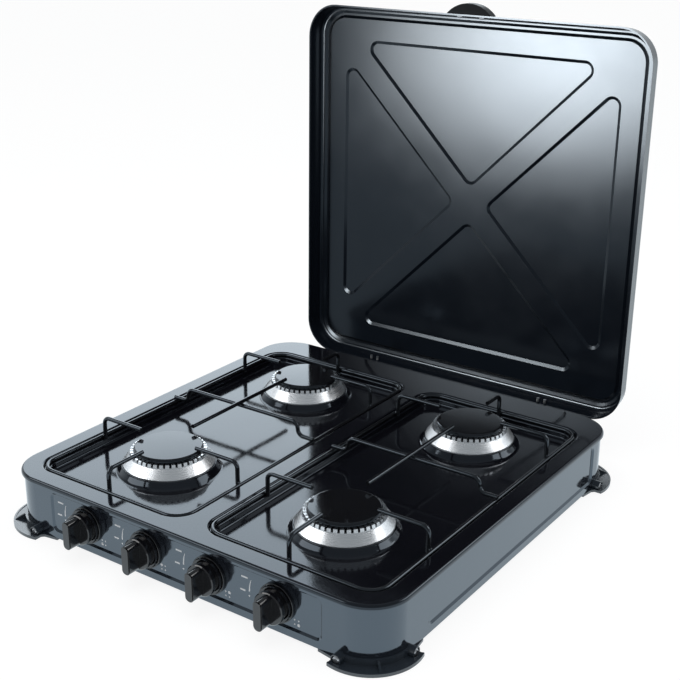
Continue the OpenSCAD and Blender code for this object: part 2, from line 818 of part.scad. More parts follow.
module injector_elbows() {
    color("goldenrod")
    for (k = [0:3])
        translate([burner_at[k][0], burner_at[k][1], tube_z])
            feed_turn(k)
                difference() {
                    union() {
                        translate([-elbow_half, -elbow_half - feed_side(k), -elbow_half])
                            cube([2 * elbow_half, 2 * elbow_half + feed_side(k), 2 * elbow_half]);
                        cylinder(r = 4, h = elbow_half + 5.5);
                    }
                    translate([0, -feed_side(k), 0]) {
                        translate([elbow_half - 4, 0, 0]) rotate([0, 90, 0]) cylinder(r = tube_r + 0.15, h = 10);
                        rotate([0, 90, 0]) cylinder(r = 1.8, h = 10);
                        rotate([-90, 0, 0]) cylinder(r = 1.8, h = feed_side(k) + 1.8);
                    }
                    cylinder(r = 1.8, h = elbow_half + 3);
                    cylinder(r = 0.6, h = 30);
                }
}

module burner_screw_places() {
    for (a = [45, 225])
        rotate(a) translate([burner_screw_r, 0, 0]) children();
}
module burner_cup(k) {
    flange_z = boss_z - sheet;
    bar_z = tube_z - elbow_half;
    color("gray")
    translate([burner_at[k][0], burner_at[k][1], 0])
        difference() {
            union() {
                translate([0, 0, flange_z - 4]) cylinder(r = cup_flange_r, h = 4);
                translate([0, 0, cup_low]) cylinder(r = cup_r, h = flange_z - cup_low);
                translate([0, 0, flange_z - 1]) cylinder(r = boss_hole_r - 0.3, h = sheet + 3);
                feed_turn(k)
                    for (a = [90, 180])
                        rotate(a) {
                            translate([elbow_half + 3, -4, bar_z - 4]) cube([5, 8, cup_low - bar_z + 5]);
                            translate([-4, -4, bar_z - 4]) cube([elbow_half + 12, 8, 4]);
                        }
            }
            translate([0, 0, cup_low + 4]) cylinder(r = cup_r - cup_wall, h = cup_low);
            translate([0, 0, cup_low - 1]) cylinder(r = 2 * elbow_half - 5, h = cup_low);
            burner_screw_places() translate([0, 0, flange_z - 6]) cylinder(r = 2.1, h = 10);
        }
}
module burner_cup_1() { burner_cup(0); }
module burner_cup_2() { burner_cup(1); }
module burner_cup_3() { burner_cup(2); }
module burner_cup_4() { burner_cup(3); }

module burner_screws() {
    color("gray")
    for (b = burner_at)
        translate([b[0], b[1], boss_z])
            burner_screw_places() pan_screw(3.4, 2, 1.9, 8);
}

module burner_crown(k) {
    root_z = crown_z + crown_h;
    tip_z = root_z + tooth_h;
    color("silver")
    translate([burner_at[k][0], burner_at[k][1], 0])
        difference() {
            rotate_extrude()
                polygon([
                    [crown_r, crown_z], [crown_r, crown_z + crown_base_h], [crown_top_r, root_z],
                    [crown_top_r - 1.4, tip_z], [seat_r, tip_z], [seat_r, root_z],
                    [crown_bore_r, root_z], [crown_bore_r, crown_z + 3],
                    [crown_tube_r, crown_z + 3], [crown_tube_r, root_z - 3], [crown_top_r - 5, root_z - 3],
                    [crown_r - 4, crown_z + crown_base_h], [crown_r - 4, crown_z]
                ]);
            for (a = [0:360 / tooth_count:179.9])
                rotate(a)
                    translate([-60, -tooth_gap / 2, root_z + 0.6])
                        cube([120, tooth_gap, tooth_h + 1]);
        }
}
module burner_crown_1() { burner_crown(0); }
module burner_crown_2() { burner_crown(1); }
module burner_crown_3() { burner_crown(2); }
module burner_crown_4() { burner_crown(3); }

module burner_cap(k) {
    color("black")
    translate([burner_at[k][0], burner_at[k][1], 0])
        rotate_extrude()
            polygon(concat(
                [[0, cap_z], [spigot_in_r, cap_z], [spigot_in_r, cap_z - spigot_h]],
                [[spigot_r, cap_z - spigot_h], [spigot_r, cap_z]],
                [[cap_r, cap_z], [cap_r, cap_z + 1]],
                arc([cap_r - 3.5, cap_top_z - 3.5], 3.5, 15, 84, 6),
                [[0, cap_top_z + 0.8]]
            ));
}
module burner_cap_1() { burner_cap(0); }
module burner_cap_2() { burner_cap(1); }
module burner_cap_3() { burner_cap(2); }
module burner_cap_4() { burner_cap(3); }

// Finger of a pan support: upright leg at distance l from the burner, bent over towards it
module finger(l) {
    leg_z = ring_z - wire_r;
    rod([l, 0, leg_z], [l, 0, finger_z - finger_bend], wire_r);
    translate([l - finger_bend, 0, finger_z - finger_bend])
        rotate([90, 0, 0])
            rotate_extrude(angle = 90) translate([finger_bend, 0]) circle(wire_r);
    rod([tip_r, 0, finger_z], [l - finger_bend, 0, finger_z], wire_r);
}
// Wire across the middle of a pan support, its feet on the ring
module cross_wire() {
    foot_z = ring_z + weld_step;
    bend = (cross_z - foot_z) / 2;
    foot_x = ring_half_w - cross_foot;
    rod([2 * bend - foot_x, 0, cross_z], [foot_x - 2 * bend, 0, cross_z], wire_r);
    for (k = [0, 1])
        mirror([k, 0, 0]) {
            rod([foot_x, 0, foot_z], [ring_half_w + wire_r, 0, foot_z], wire_r);
            translate([foot_x, 0, foot_z + bend])
                rotate([90, 180, 0])
                    rotate_extrude(angle = 90) translate([bend, 0]) circle(wire_r);
            translate([foot_x - 2 * bend, 0, foot_z + bend])
                rotate([90, 0, 0])
                    rotate_extrude(angle = 90) translate([bend, 0]) circle(wire_r);
        }
}
module grate(s) {
    side_l = ring_half_w - weld_step;
    front_l = ring_front - weld_step - burner_y;
    back_l = ring_back - weld_step - burner_y;
    color("black")
    translate([s * burner_x, 0, 0]) {
        translate([0, ring_mid, ring_z])
            sweep_round(box_points(2 * ring_half_w, ring_len), ring_r)
                translate([ring_r, 0]) circle(wire_r);
        for (k = [-1, 1])
            translate([0, k * burner_y, 0]) {
                finger(side_l);
                rotate(180) finger(side_l);
                rotate(k * 90) finger(k < 0 ? front_l : back_l);
            }
        cross_wire();
        rod([0, -burner_y + tip_r, finger_z], [0, burner_y - tip_r, finger_z], wire_r);
    }
}
module grate_left() { grate(-1); }
module grate_right() { grate(1); }

module hinge_brackets() {
    color("dimgray")
    for (s = [-1, 1])
        translate([s * hinge_x, 0, 0])
            difference() {
                union() {
                    translate([-bracket_w / 2, back_y, hinge_z - bracket_h + 14])
                        cube([bracket_w, hinge_t, bracket_h]);
                    for (k = [-1, 1])
                        translate([k * leaf_x - hinge_t / 2, 0, 0]) {
                            translate([0, back_y, hinge_z - eye_r])
                                cube([hinge_t, hinge_y - back_y, 2 * eye_r]);
                            translate([0, hinge_y, hinge_z]) rotate([0, 90, 0]) cylinder(r = eye_r, h = hinge_t);
                        }
                    translate([-6, back_y, stop_z() - hinge_t]) cube([12, hinge_y - back_y + 14, hinge_t]);
                }
                translate([-bracket_w, hinge_y, hinge_z])
                    rotate([0, 90, 0]) cylinder(r = pin_r + pin_clear, h = 2 * bracket_w);
                for (k = [-1, 1])
                    translate([k * bracket_screw_x, back_y + drill_l / 2, hinge_z + 8])
                        to_front() cylinder(r = 2.1, h = drill_l);
            }
}
// Top of the stop on which the open arm rests
function stop_z() = hinge_z - arm_back() - stop_gap - 0.3;
function arm_back() = 6.5;

module hinge_pins() {
    color("silver")
    for (s = [-1, 1])
        translate([s * hinge_x, hinge_y, hinge_z])
            rotate([0, 90, 0]) {
                translate([0, 0, -leaf_x - hinge_t / 2 - pin_head])
                    cylinder(r = pin_r, h = 2 * (leaf_x + pin_head) + hinge_t);
                for (k = [-1, 1])
                    translate([0, 0, k * (leaf_x + hinge_t / 2 + pin_head / 2) - pin_head / 2])
                        cylinder(r = pin_r + 1.5, h = pin_head);
            }
}

module bracket_screws() {
    color("gray")
    for (x = [-hinge_x, hinge_x])
        for (k = [-1, 1])
            translate([x + k * bracket_screw_x, back_y + hinge_t, hinge_z + 8])
                rotate([-90, 0, 0]) pan_screw(3.6, 2.2, 1.9, 9);
}

// Places what is drawn in the closed lid's position where the open lid stands
module lid_place() {
    translate([0, hinge_y, hinge_z])
        rotate([-lid_open, 0, 0])
            translate([0, -hinge_y, -hinge_z])
                children();
}
// Rim plane of the closed lid at z = 0, lid's middle at the origin
module lid_frame() {
    lid_place() translate([0, lid_mid, rim_z]) children();
}
wall_h = lid_h - lid_edge_r;
function wall_in(z) = lid_draft * z / wall_h;

module lid_profile() {
    t = sheet;
    r = lid_r;
    e = lid_edge_r;
    s = bead_slope;
    c = [r - lid_draft - e, wall_h];
    a = r - bead_at;
    b = a - bead_w;
    polygon(concat(
        [[r, 0], [r - lid_draft, wall_h]],
        arc(c, e, 8, 90),
        [[a, lid_h], [a - s, lid_h + bead_d], [b + s, lid_h + bead_d], [b, lid_h], [b - 2, lid_h]],
        [[b - 2, lid_h - t], [b + 0.4, lid_h - t], [b + s + 0.4, lid_h + bead_d - t],
            [a - s - 0.4, lid_h + bead_d - t], [a - 0.4, lid_h - t]],
        arc(c, e - t, 90, 8),
        [[r - lid_draft - t, wall_h], [r - t - wall_in(3), 3], [r - 2, 3], [r - 2, 0]]
    ));
}
tri_points = [[tri_gap - tri_out, -tri_out], [tri_out - tri_gap, -tri_out], [0, -tri_gap]];

// Outline of a pressed triangle, grown sideways and set at a height
function tri_outline(grow, z) = [
    for (c = [[0, 135, 270, 9], [1, -90, 45, 9], [2, 45, 135, 6]])
        for (p = arc(corner_mid(tri_points, tri_r, c[0]), tri_r + grow, c[1], c[2], c[3])) [p[0], p[1], z]
];
// Rounded triangle that narrows upward by the slope's width, from below a sheet face to above it
module triangle_hump(low, high) {
    wide = tri_outline(tri_slope * (sheet / 2) / tri_d, low);
    narrow = tri_outline(-tri_slope, high);
    n = len(wide);
    polyhedron(concat(wide, narrow), concat(
        [[for (i = [0:n - 1]) i]],
        [[for (i = [n - 1:-1:0]) n + i]],
        [for (i = [0:n - 1]) [i, n + i, n + (i + 1) % n, (i + 1) % n]]
    ));
}

module lid() {
    in_r = lid_r - bead_at - bead_w - 2;
    edge = 2 * (bead_at + bead_w + 2);
    color("black")
    lid_frame()
        difference() {
            union() {
                sweep_round(box_points(lid_w, lid_l), lid_r) lid_profile();
                round_plate(box_points(lid_w - edge, lid_l - edge), in_r, lid_h - sheet, sheet);
                for (a = [0, 90, 180, 270])
                    rotate(a) triangle_hump(lid_h - sheet / 2, lid_h + tri_d);
            }
            for (a = [0, 90, 180, 270])
                rotate(a) triangle_hump(lid_h - sheet * 1.5, lid_h + tri_d - sheet);
            for (x = [-handle_screw_x, handle_screw_x])
                translate([x, -lid_l / 2 + 10, 8]) to_front() cylinder(r = 2.1, h = 20);
            for (x = arm_screw_x())
                translate([x, lid_l / 2 + 10, arm_tab_z() + 5.5]) to_front() cylinder(r = 2.1, h = 20);
        }
}
// Tab of the hinge arm against the lid's back wall
function arm_tab_z() = 3;
function arm_screw_x() = [for (s = [-1, 1]) for (k = [9, 19]) s * (hinge_x - k)];

module lid_handle() {
    sag_r = (handle_w * handle_w / 4 + handle_out * handle_out) / (2 * handle_out);
    base = -lid_l / 2;
    color("black")
    lid_frame()
        difference() {
            intersection() {
                translate([0, base - handle_out + sag_r, 1])
                    cylinder(r = sag_r, h = handle_h);
                translate([-handle_w / 2, 0, 0])
                    rotate([90, 0, 90])
                        linear_extrude(handle_w)
                            polygon([[base - handle_out - 1, 1], [base + wall_in(1), 1],
                                [base + wall_in(handle_h + 1), handle_h + 1],
                                [base - handle_out + 2, handle_h + 1], [base - handle_out - 1, handle_h - 2]]);
            }
            for (x = [-handle_screw_x, handle_screw_x])
                translate([x, base + 10, 8]) to_front() cylinder(r = 2.1, h = 18);
        }
}
module handle_screws() {
    color("gray")
    lid_frame()
        for (x = [-handle_screw_x, handle_screw_x])
            translate([x, -lid_l / 2 + wall_in(8) + sheet + 0.6, 8])
                rotate([-90, 0, 0]) pan_screw(4, 2.4, 1.9, 9);
}

module hinge_arms() {
    y_wall = lid_back;
    z_low = rim_z + arm_tab_z();
    z_high = z_low + 11;
    function wall_y(z) = y_wall - wall_in(z - rim_z);
    color("dimgray")
    lid_place()
        for (s = [-1, 1])
            translate([s * hinge_x, 0, 0])
                mirror([s < 0 ? 1 : 0, 0, 0])
                    difference() {
                        union() {
                            translate([-hinge_t / 2, 0, 0])
                                rotate([90, 0, 90])
                                    linear_extrude(hinge_t) {
                                        translate([hinge_y, hinge_z]) circle(eye_r);
                                        polygon([
                                            [hinge_y - 2.6, hinge_z], [hinge_y + arm_back(), hinge_z],
                                            [hinge_y + arm_back(), z_high], [wall_y(z_high), z_high],
                                            [wall_y(z_low), z_low], [hinge_y - 2.6, z_low]
                                        ]);
                                    }
                            translate([-24, 0, 0])
                                rotate([90, 0, 90])
                                    linear_extrude(25)
                                        polygon([
                                            [wall_y(z_low), z_low], [wall_y(z_low) + hinge_t, z_low],
                                            [wall_y(z_high) + hinge_t, z_high], [wall_y(z_high), z_high]
                                        ]);
                        }
                        translate([-bracket_w, hinge_y, hinge_z])
                            rotate([0, 90, 0]) cylinder(r = pin_r + pin_clear, h = 2 * bracket_w);
                        for (k = [9, 19])
                            translate([-k, y_wall + drill_l / 2, z_low + 5.5])
                                to_front() cylinder(r = 2.1, h = drill_l);
                    }
}
module arm_screws() {
    z = arm_tab_z() + 5.5;
    color("gray")
    lid_frame()
        for (x = arm_screw_x())
            translate([x, lid_l / 2 - wall_in(z) + hinge_t + 0.4, z])
                rotate([-90, 0, 0]) pan_screw(3.6, 2.2, 1.9, 8);
}

side_casing();
cooktop();
foot_front_left();
foot_front_right();
foot_back_left();
foot_back_right();
foot_screws();
knob_bezels();
gas_manifold();
hose_nozzle();
tap_body_1();
tap_body_2();
tap_body_3();
tap_body_4();
tap_cone_1();
tap_cone_2();
tap_cone_3();
tap_cone_4();
tap_spindle_1();
tap_spindle_2();
tap_spindle_3();
tap_spindle_4();
tap_spring_1();
tap_spring_2();
tap_spring_3();
tap_spring_4();
knob_1();
knob_2();
knob_3();
knob_4();
supply_tube_1();
supply_tube_2();
supply_tube_3();
supply_tube_4();
injector_elbows();
burner_cup_1();
burner_cup_2();
burner_cup_3();
burner_cup_4();
burner_screws();
burner_crown_1();
burner_crown_2();
burner_crown_3();
burner_crown_4();
burner_cap_1();
burner_cap_2();
burner_cap_3();
burner_cap_4();
grate_left();
grate_right();
hinge_brackets();
hinge_pins();
bracket_screws();
lid();
lid_handle();
handle_screws();
hinge_arms();
arm_screws();
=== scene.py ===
# %% [markdown]
# # Dressing a table-top gas hob
# The hob is a low enamelled box with four burners, wire pan supports and a lid that folds up
# behind them. The solids already have the right shape and place, so this lesson gives them
# smooth surfaces, rounded edges, real finishes and the light of a plain studio.

# %% Load the solids
import json
import math
import bmesh
import bpy
from mathutils import Matrix, Vector


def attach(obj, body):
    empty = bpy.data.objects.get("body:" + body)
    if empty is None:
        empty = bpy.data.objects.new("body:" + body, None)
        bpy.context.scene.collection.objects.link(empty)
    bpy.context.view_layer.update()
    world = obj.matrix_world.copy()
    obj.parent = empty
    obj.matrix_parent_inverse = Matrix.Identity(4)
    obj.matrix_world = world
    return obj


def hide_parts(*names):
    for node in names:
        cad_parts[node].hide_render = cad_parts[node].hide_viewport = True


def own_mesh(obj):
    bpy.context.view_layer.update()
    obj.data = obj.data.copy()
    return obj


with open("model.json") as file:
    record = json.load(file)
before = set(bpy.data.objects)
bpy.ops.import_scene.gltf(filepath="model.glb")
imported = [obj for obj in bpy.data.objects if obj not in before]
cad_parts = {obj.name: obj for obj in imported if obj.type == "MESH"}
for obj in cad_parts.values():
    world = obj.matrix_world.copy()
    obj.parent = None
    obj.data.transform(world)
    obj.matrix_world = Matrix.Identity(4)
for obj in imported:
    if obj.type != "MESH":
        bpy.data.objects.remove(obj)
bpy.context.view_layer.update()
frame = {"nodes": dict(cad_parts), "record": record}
body_of = {n: b for b, members in frame["record"]["behaviour"]["bodies"].items() for n in members}
slot_of = {s["node"]: s["material_slot"] for s in frame["record"]["subparts"]}

# %% [markdown]
# ## The camera
# The photograph was taken from the right, above the knobs, with a longish lens. Yaw, pitch and
# roll are easier to read than a matrix, so the camera's turn is built from the three of them.

# %% Camera
eye = bpy.data.cameras.new("photo_camera")
eye.sensor_width = 36
eye.lens = 65.312
eye.shift_x = -0.00425
eye.shift_y = -0.00278
eye.clip_start = 0.05
eye_place = (0.7677, -1.0575, 0.6939)
yaw, pitch, roll = 34.985, -20.629, 0.398
camera = bpy.data.objects.new("photo_camera", eye)
bpy.context.scene.collection.objects.link(camera)
turn = (Matrix.Rotation(math.radians(yaw), 4, "Z")
        @ Matrix.Rotation(math.radians(90 + pitch), 4, "X")
        @ Matrix.Rotation(math.radians(roll), 4, "Z"))
camera.matrix_world = Matrix.Translation(eye_place) @ turn
bpy.context.scene.camera = camera
bpy.context.scene.view_settings.view_transform = "Standard"
print("camera at", [round(v, 3) for v in camera.location])

# %% [markdown]
# ## Node helpers
# Every finish is a small node tree. Two helpers keep the trees readable: one adds a node and
# sets or wires its sockets by name, the other starts a finish and hands out its parts.

# %% Node helpers
def add_node(tree, kind, sockets=None, **settings):
    node = tree.nodes.new(kind)
    for key, value in settings.items():
        setattr(node, key, value)
    for key, value in (sockets or {}).items():
        if isinstance(value, bpy.types.NodeSocket):
            tree.links.new(value, node.inputs[key])
        else:
            node.inputs[key].default_value = value
    return node


def start_finish(name):
    finish = bpy.data.materials.new(name)
    finish.use_nodes = True
    tree = finish.node_tree
    shader = tree.nodes["Principled BSDF"]
    where = tree.nodes.new("ShaderNodeTexCoord").outputs["Object"]
    return finish, tree, shader, where


print("helpers:", add_node.__name__, start_finish.__name__)

# %% [markdown]
# ## The studio
# The hob stands on a pale floor in a white studio. Enamel shows little colour of its own: what one
# sees on it is the studio. So the world answers each kind of ray in its own way: white to the camera,
# an even soft light to what it falls on, and to a reflection a white that turns dim overhead.

# %% World
world = bpy.data.worlds.new("white_studio")
bpy.context.scene.world = world
world.use_nodes = True
tree = world.node_tree
tree.nodes.clear()
path = add_node(tree, "ShaderNodeLightPath")
ray_way = add_node(tree, "ShaderNodeTexCoord").outputs["Generated"]
dim_towards = (0.175, -0.28, 1.0)
height = add_node(tree, "ShaderNodeVectorMath", {0: ray_way, 1: dim_towards}, operation="DOT_PRODUCT")
dim = add_node(tree, "ShaderNodeMapRange", {
    "Value": height.outputs["Value"], "From Min": 0.08, "From Max": 0.5, "To Min": 1.0, "To Max": 0.3})
even = add_node(tree, "ShaderNodeBackground", {"Color": (0.95, 0.98, 1, 1), "Strength": 0.6})
mirrored = add_node(tree, "ShaderNodeBackground", {"Color": (0.88, 0.95, 1, 1), "Strength": dim.outputs[0]})
white = add_node(tree, "ShaderNodeBackground", {"Color": (1, 1, 1, 1), "Strength": 1.0})
clear = add_node(tree, "ShaderNodeMath", {
    0: path.outputs["Is Camera Ray"], 1: path.outputs["Is Transmission Ray"]}, operation="MAXIMUM")
mix = add_node(tree, "ShaderNodeMixShader", {
    0: path.outputs["Is Glossy Ray"], 1: even.outputs[0], 2: mirrored.outputs[0]})
mix = add_node(tree, "ShaderNodeMixShader", {0: clear.outputs[0], 1: mix.outputs[0], 2: white.outputs[0]})
add_node(tree, "ShaderNodeOutputWorld", {"Surface": mix.outputs[0]})
print("world ready")

# %% Floor
floor_half, floor_drop, own_light = 40, 0.0004, 0.8
corners = [(-floor_half, -floor_half, 0), (floor_half, -floor_half, 0),
           (floor_half, floor_half, 0), (-floor_half, floor_half, 0)]
floor_mesh = bpy.data.meshes.new("floor")
floor_mesh.from_pydata(corners, [], [(0, 1, 2, 3)])
floor = bpy.data.objects.new("floor", floor_mesh)
floor.location.z = -floor_drop
bpy.context.scene.collection.objects.link(floor)
pale = bpy.data.materials.new("pale_floor")
pale.use_nodes = True
tree = pale.node_tree
tree.nodes.clear()
path = add_node(tree, "ShaderNodeLightPath")
matt = add_node(tree, "ShaderNodeBsdfDiffuse", {"Color": (0.95, 0.95, 0.95, 1)})
glow = add_node(tree, "ShaderNodeEmission", {"Color": (1, 1, 1, 1), "Strength": 1.08})
sheen = add_node(tree, "ShaderNodeEmission", {"Color": (0.84, 0.94, 1, 1), "Strength": 1.35})
mix = matt
for kind, light in (("Is Camera Ray", glow), ("Is Glossy Ray", sheen)):
    share = add_node(tree, "ShaderNodeMath", {0: path.outputs[kind], 1: own_light}, operation="MULTIPLY")
    mix = add_node(tree, "ShaderNodeMixShader", {
        0: share.outputs[0], 1: mix.outputs[0], 2: light.outputs[0]})
add_node(tree, "ShaderNodeOutputMaterial", {"Surface": mix.outputs[0]})
floor_mesh.materials.append(pale)
print("floor ready")

# %% [markdown]
# ## Soft boxes
# One box overhead lights everything. The others exist only as reflections: a wide one behind on the
# left, which the cooktop shows, one with a soft round glow, low in front on the left, which the
# raised lid shows, and two at the sides, which put bright streaks on the burner crowns and thin bright
# lines on the rods, the knobs and the cooktop's edges. A box that only mirrors leaves every colour
# as it is.

# %% Soft boxes
def soft_box(name, place, aim, width, height, radiance, colour=(1, 1, 1), mirror_only=True, glow=False):
    lamp = bpy.data.lights.new(name, "AREA")
    lamp.shape = "RECTANGLE"
    lamp.size, lamp.size_y = width, height
    lamp.energy = radiance * math.pi * width * height
    lamp.color = colour
    if glow:
        lamp.use_nodes = True
        tree = lamp.node_tree
        across = add_node(tree, "ShaderNodeNewGeometry").outputs["Parametric"]
        off = add_node(tree, "ShaderNodeVectorMath", {0: across, 1: (0.5, 0.5, 0)}, operation="DISTANCE")
        fall = add_node(tree, "ShaderNodeMapRange", {
            "Value": off.outputs["Value"], "From Min": 0.0, "From Max": 0.5, "To Min": 1.0, "To Max": 0.0,
        }, interpolation_type="SMOOTHSTEP")
        tree.links.new(fall.outputs[0], tree.nodes["Emission"].inputs["Strength"])
    box = bpy.data.objects.new(name, lamp)
    box.location = place
    box.rotation_euler = (Vector(aim) - Vector(place)).to_track_quat("-Z", "Y").to_euler()
    box.visible_camera = False
    box.visible_diffuse = not mirror_only
    bpy.context.scene.collection.objects.link(box)
    return box


overhead = soft_box("overhead", place=(0.1, -0.2, 2.4), aim=(0, 0, 0),
                    width=2.2, height=2.2, radiance=1.4, mirror_only=False)
overhead.visible_glossy = False
soft_box("back_left", place=(-1.35, 1.5, 1.0), aim=(0, 0, 0.1),
         width=2.0, height=1.2, radiance=2.6, colour=(0.84, 0.93, 1))
lid_glow = soft_box("low_front_left", place=(-0.31, -0.60, 0.41), aim=(0.11, 0.293, 0.51),
                    width=0.98, height=0.70, radiance=76, colour=(1, 0.94, 0.88), glow=True)
streaks = [soft_box(name, place, aim=(0, 0, 0.07), width=1.0, height=0.6, radiance=3.0)
           for name, place in (("streak_left", (-0.81, -0.93, 0.84)), ("streak_right", (0.97, 0.77, 0.92)))]

# %% [markdown]
# ## Finishes that share an effect
# Fired enamel is never a perfect mirror: it has the faint dimples of a sprayed coat and a haze of
# wiped smudges. Moulded plastic has a fine grain. Each effect is one node group with its own sizes,
# so that lid, cooktop and casing can share it with different values.

# %% Shared effects
def group_sockets(tree, inputs, outputs):
    for name, value in inputs:
        kind = "NodeSocketVector" if value is None else "NodeSocketFloat"
        tree.interface.new_socket(name, in_out="INPUT", socket_type=kind)
        if value is not None:
            tree.interface.items_tree[name].default_value = value
    for name in outputs:
        tree.interface.new_socket(name, in_out="OUTPUT", socket_type="NodeSocketFloat")
    return tree.nodes.new("NodeGroupInput").outputs, tree.nodes.new("NodeGroupOutput").inputs


fired = bpy.data.node_groups.new("fired_coat", "ShaderNodeTree")
ins, outs = group_sockets(
    fired,
    [("Where", None), ("Dimple Scale", 420.0), ("Sheet Scale", 9.0),
     ("Low Gloss", 0.05), ("High Gloss", 0.12)],
    ["Dimples", "Sheet", "Roughness"])
dimples = add_node(fired, "ShaderNodeTexNoise", {
    "Vector": ins["Where"], "Scale": ins["Dimple Scale"], "Detail": 2.0})
sheet = add_node(fired, "ShaderNodeTexNoise", {
    "Vector": ins["Where"], "Scale": ins["Sheet Scale"], "Detail": 1.0})
smudge = add_node(fired, "ShaderNodeTexNoise", {
    "Vector": ins["Where"], "Scale": 14.0, "Detail": 6.0, "Roughness": 0.65})
haze = add_node(fired, "ShaderNodeMapRange", {
    "Value": smudge.outputs[0], "From Min": 0.35, "From Max": 0.75,
    "To Min": ins["Low Gloss"], "To Max": ins["High Gloss"]})
fired.links.new(dimples.outputs[0], outs["Dimples"])
fired.links.new(sheet.outputs[0], outs["Sheet"])
fired.links.new(haze.outputs[0], outs["Roughness"])

moulded = bpy.data.node_groups.new("moulded_grain", "ShaderNodeTree")
ins, outs = group_sockets(
    moulded,
    [("Where", None), ("Grain Scale", 2200.0), ("Low Gloss", 0.3), ("High Gloss", 0.5)],
    ["Grain", "Roughness"])
grain = add_node(moulded, "ShaderNodeTexVoronoi", {"Vector": ins["Where"], "Scale": ins["Grain Scale"]})
rub = add_node(moulded, "ShaderNodeTexNoise", {"Vector": ins["Where"], "Scale": 60.0, "Detail": 4.0})
gloss = add_node(moulded, "ShaderNodeMapRange", {
    "Value": rub.outputs[0], "From Min": 0.3, "From Max": 0.7,
    "To Min": ins["Low Gloss"], "To Max": ins["High Gloss"]})
moulded.links.new(grain.outputs[0], outs["Grain"])
moulded.links.new(gloss.outputs[0], outs["Roughness"])
print("shared effects:", fired.name, moulded.name)

# %% [markdown]
# ## Enamel
# Black enamel is glass fused to steel, so it mirrors its surroundings. Its index is set on the
# shader itself, and the coat group only supplies what changes over the surface.

# %% Enamels
def blend(tree, share, first, second):
    mix = add_node(tree, "ShaderNodeMix", {"Factor": share, "A": first, "B": second}, data_type="RGBA")
    return mix.outputs["Result"]


wave, dimple = 0.02, 0.015
tint = (0.72, 0.86, 1, 1)


def enamel(name, colour, fleck, low_gloss, high_gloss, index):
    finish, tree, shader, where = start_finish(name)
    coat = add_node(tree, "ShaderNodeGroup", node_tree=fired)
    tree.links.new(where, coat.inputs["Where"])
    coat.inputs["Low Gloss"].default_value = low_gloss
    coat.inputs["High Gloss"].default_value = high_gloss
    cloud = add_node(tree, "ShaderNodeTexNoise", {"Vector": where, "Scale": 7.0, "Detail": 3.0})
    tree.links.new(blend(tree, cloud.outputs[0], colour, fleck), shader.inputs["Base Color"])
    tree.links.new(coat.outputs["Roughness"], shader.inputs["Roughness"])
    waves = add_node(tree, "ShaderNodeBump", {
        "Height": coat.outputs["Sheet"], "Strength": wave, "Distance": 0.02})
    peel = add_node(tree, "ShaderNodeBump", {
        "Height": coat.outputs["Dimples"], "Strength": dimple, "Distance": 0.001,
        "Normal": waves.outputs[0]})
    tree.links.new(peel.outputs[0], shader.inputs["Normal"])
    shader.inputs["IOR"].default_value = index
    shader.inputs["Specular Tint"].default_value = tint
    return finish


# Each enamel has its colour, a paler fleck, its lowest and highest roughness and its index.
enamels = {
    "cooktop_enamel": ((0.003, 0.003, 0.005, 1), (0.005, 0.005, 0.007, 1), 0.08, 0.13, 1.52),
    "casing_enamel": ((0.008, 0.010, 0.014, 1), (0.011, 0.013, 0.018, 1), 0.06, 0.12, 2.0),
    "lid_enamel": ((0.004, 0.006, 0.010, 1), (0.006, 0.008, 0.012, 1), 0.15, 0.21, 1.3),
    "cap_enamel": ((0.005, 0.005, 0.006, 1), (0.007, 0.007, 0.008, 1), 0.05, 0.1, 1.5),
    "wire_enamel": ((0.005, 0.005, 0.006, 1), (0.008, 0.008, 0.009, 1), 0.08, 0.16, 1.6),
    "hinge_paint": ((0.008, 0.008, 0.010, 1), (0.012, 0.012, 0.014, 1), 0.2, 0.35, 1.5),
}
finishes = {name: enamel(name, *values) for name, values in enamels.items()}
print("enamels:", sorted(finishes))

# %% [markdown]
# ## Plastic, metal and print
# Feet, knobs and handle are moulded. The crowns are turned aluminium: an attribute that says how
# far a point lies along the turned profile lets fine rings follow the lathe.

# %% Plastics and metals
paler_by = 1.5


def plastic(name, colour, low_gloss, high_gloss, grain, index):
    finish, tree, shader, where = start_finish(name)
    skin = add_node(tree, "ShaderNodeGroup", node_tree=moulded)
    tree.links.new(where, skin.inputs["Where"])
    skin.inputs["Low Gloss"].default_value = low_gloss
    skin.inputs["High Gloss"].default_value = high_gloss
    cloud = add_node(tree, "ShaderNodeTexNoise", {"Vector": where, "Scale": 35.0, "Detail": 4.0})
    paler = tuple(paler_by * c for c in colour[:3]) + (1,)
    tree.links.new(blend(tree, cloud.outputs[0], colour, paler), shader.inputs["Base Color"])
    tree.links.new(skin.outputs["Roughness"], shader.inputs["Roughness"])
    bump = add_node(tree, "ShaderNodeBump", {
        "Height": skin.outputs["Grain"], "Strength": grain, "Distance": 0.0004})
    tree.links.new(bump.outputs[0], shader.inputs["Normal"])
    shader.inputs["IOR"].default_value = index
    return finish


def metal(name, dark, bright, low_gloss, high_gloss):
    finish, tree, shader, where = start_finish(name)
    cloud = add_node(tree, "ShaderNodeTexNoise", {"Vector": where, "Scale": 90.0, "Detail": 5.0})
    gloss = add_node(tree, "ShaderNodeMapRange", {
        "Value": cloud.outputs[0], "To Min": low_gloss, "To Max": high_gloss})
    tree.links.new(blend(tree, cloud.outputs[0], dark, bright), shader.inputs["Base Color"])
    tree.links.new(gloss.outputs[0], shader.inputs["Roughness"])
    shader.inputs["Metallic"].default_value = 1.0
    return finish


# Each plastic has its colour, its lowest and highest roughness, the strength of its grain and its index.
plastics = {
    "foot_plastic": ((0.016, 0.021, 0.028, 1), 0.16, 0.26, 0.05, 1.75),
    "knob_plastic": ((0.003, 0.003, 0.004, 1), 0.08, 0.16, 0.02, 1.62),
    "handle_plastic": ((0.006, 0.006, 0.007, 1), 0.35, 0.5, 0.05, 1.3),
}
